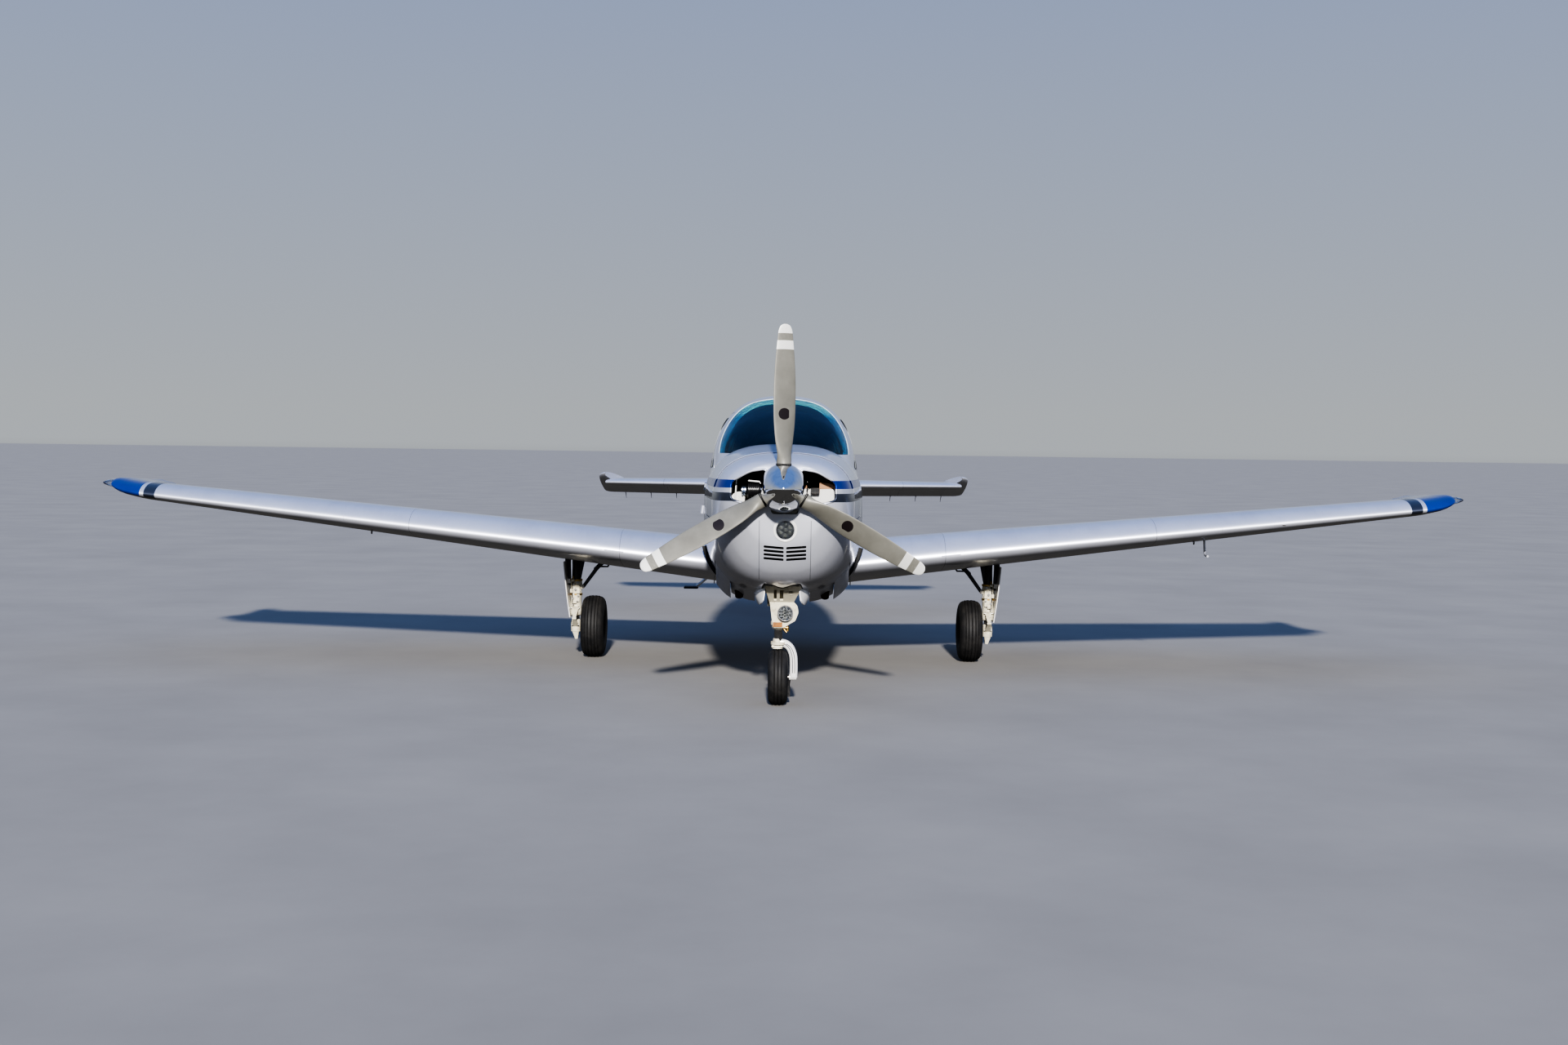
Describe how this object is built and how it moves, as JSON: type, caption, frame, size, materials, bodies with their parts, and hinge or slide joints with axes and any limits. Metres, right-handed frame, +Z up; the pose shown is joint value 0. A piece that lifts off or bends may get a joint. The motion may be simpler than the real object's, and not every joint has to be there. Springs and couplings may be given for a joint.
{
  "type": "light aircraft",
  "caption": "Light propeller aircraft with a low wing and a cabin, standing on its nose and main wheels; propeller, wheels, control surfaces, flaps and doors move.",
  "frame": {"origin": "on the ground, under the middle of the aircraft's bounding box", "axes": "+X towards the aircraft's left wing tip, +Y aft along the body, +Z up"},
  "size_m": [10.21, 8.3799, 2.62],
  "materials": {
    "white_paint": "gloss",
    "blue_paint": "gloss",
    "engine_casting": "matte",
    "clear_glass": "polished",
    "lamp_glass": "polished",
    "panel_plastic": "matte",
    "seat_leather": "satin",
    "gear_paint": "satin",
    "tyre_rubber": "matte",
    "wheel_alloy": "satin",
    "polished_spinner": "polished",
    "blade_paint": "satin"
  },
  "bodies": {
    "airframe": {"nose_bowl": "white_paint", "landing_light": "lamp_glass", "engine_cowl": "white_paint", "engine": "engine_casting", "cabin_lower": "white_paint", "cabin_upper": "white_paint", "windscreen": "clear_glass", "left_window_1": "clear_glass", "left_window_2": "clear_glass", "left_window_3": "clear_glass", "left_window_4": "clear_glass", "right_window_2": "clear_glass", "instrument_panel": "panel_plastic", "front_seats": "seat_leather", "middle_seats": "seat_leather", "rear_seats": "seat_leather", "tail_cone": "white_paint", "wing_left": "white_paint", "wing_tip_left": "blue_paint", "tip_lens_left": "clear_glass", "wing_right": "white_paint", "wing_tip_right": "blue_paint", "tip_lens_right": "clear_glass", "tailplane_left": "white_paint", "tailplane_right": "white_paint", "fin": "white_paint", "main_gear_leg_left": "gear_paint", "main_gear_leg_right": "gear_paint", "nose_gear_leg": "gear_paint", "taxi_light": "lamp_glass", "boarding_step": "panel_plastic"},
    "propeller": {"spinner": "polished_spinner", "blade_1": "blade_paint", "blade_2": "blade_paint", "blade_3": "blade_paint"},
    "flap_left": {"flap_left": "white_paint"},
    "flap_right": {"flap_right": "white_paint"},
    "aileron_left": {"aileron_left": "white_paint"},
    "aileron_right": {"aileron_right": "white_paint"},
    "elevator": {"elevator": "white_paint"},
    "rudder": {"rudder": "white_paint"},
    "main_wheel_left": {"main_tyre_left": "tyre_rubber", "main_hub_left": "wheel_alloy"},
    "main_wheel_right": {"main_tyre_right": "tyre_rubber", "main_hub_right": "wheel_alloy"},
    "nose_fork": {"nose_fork": "white_paint"},
    "nose_wheel": {"nose_tyre": "tyre_rubber", "nose_hub": "wheel_alloy"},
    "cabin_door": {"cabin_door": "white_paint", "cabin_door_window": "clear_glass"},
    "cargo_door_front": {"cargo_door_front": "white_paint", "cargo_door_front_window": "clear_glass"},
    "cargo_door_rear": {"cargo_door_rear": "white_paint", "cargo_door_rear_window": "clear_glass"},
    "cowl_door_left": {"cowl_door_left": "white_paint"},
    "cowl_door_right": {"cowl_door_right": "white_paint"}
  },
  "joints": [
    {"name": "propeller_spin", "type": "hinge", "parent": "airframe", "child": "propeller", "pos_m": [0, -3.86, 1.399], "axis": [0, 1, 0], "continuous": true},
    {"name": "left_wheel_spin", "type": "hinge", "parent": "airframe", "child": "main_wheel_left", "pos_m": [1.46, -0.905, 0.238], "axis": [1, 0, 0], "continuous": true},
    {"name": "right_wheel_spin", "type": "hinge", "parent": "airframe", "child": "main_wheel_right", "pos_m": [-1.46, -0.905, 0.238], "axis": [1, 0, 0], "continuous": true},
    {"name": "nose_steering", "type": "hinge", "parent": "airframe", "child": "nose_fork", "pos_m": [-0.02, -3.3, 0.5], "axis": [0, 0, 1], "range_deg": [-20, 20]},
    {"name": "nose_wheel_spin", "type": "hinge", "parent": "nose_fork", "child": "nose_wheel", "pos_m": [-0.02, -3.3, 0.1775], "axis": [1, 0, 0], "continuous": true},
    {"name": "left_aileron_hinge", "type": "hinge", "parent": "airframe", "child": "aileron_left", "pos_m": [3.7025, -0.54545, 1.0992], "axis": [0.9863, -0.1109, 0.1223], "range_deg": [-20, 20]},
    {"name": "right_aileron_hinge", "type": "hinge", "parent": "airframe", "child": "aileron_right", "pos_m": [-3.7025, -0.54545, 1.0992], "axis": [-0.9863, -0.1109, 0.1223], "range_deg": [-20, 20]},
    {"name": "left_flap_hinge", "type": "hinge", "parent": "airframe", "child": "flap_left", "pos_m": [1.6825, -0.31822, 0.84878], "axis": [0.9863, -0.1109, 0.1223], "range_deg": [-30, 0]},
    {"name": "right_flap_hinge", "type": "hinge", "parent": "airframe", "child": "flap_right", "pos_m": [-1.6825, -0.31822, 0.84878], "axis": [-0.9863, -0.1109, 0.1223], "range_deg": [0, 30]},
    {"name": "elevator_hinge", "type": "hinge", "parent": "airframe", "child": "elevator", "pos_m": [0, 3.31, 1.275], "axis": [1, 0, 0], "range_deg": [0, 40]},
    {"name": "rudder_hinge", "type": "hinge", "parent": "airframe", "child": "rudder", "pos_m": [0, 3.64, 1.8], "axis": [0, 0, 1], "range_deg": [-25, 25]},
    {"name": "cabin_door_hinge", "type": "hinge", "parent": "airframe", "child": "cabin_door", "pos_m": [-0.596, -2.055, 1.02], "axis": [0.1392, 0, 0.9903], "range_deg": [0, 75]},
    {"name": "front_cargo_door_hinge", "type": "hinge", "parent": "airframe", "child": "cargo_door_front", "pos_m": [-0.608, -0.57, 1.02], "axis": [0.1392, 0, 0.9903], "range_deg": [0, 95]},
    {"name": "rear_cargo_door_hinge", "type": "hinge", "parent": "airframe", "child": "cargo_door_rear", "pos_m": [-0.548, 0.57, 1.02], "axis": [0.1392, 0, 0.9903], "range_deg": [-95, 0]},
    {"name": "left_cowl_door_hinge", "type": "hinge", "parent": "airframe", "child": "cowl_door_left", "pos_m": [0.02, -3.46, 1.61892], "axis": [0, 0.9977, 0.0673], "range_deg": [-80, 0]},
    {"name": "right_cowl_door_hinge", "type": "hinge", "parent": "airframe", "child": "cowl_door_right", "pos_m": [-0.02, -3.46, 1.61892], "axis": [0, 0.9977, 0.0673], "range_deg": [0, 80]}
  ],
  "couplings": [
    {"joint": "right_aileron_hinge", "follows": "left_aileron_hinge", "ratio": 1},
    {"joint": "right_flap_hinge", "follows": "left_flap_hinge", "ratio": -1}
  ]
}
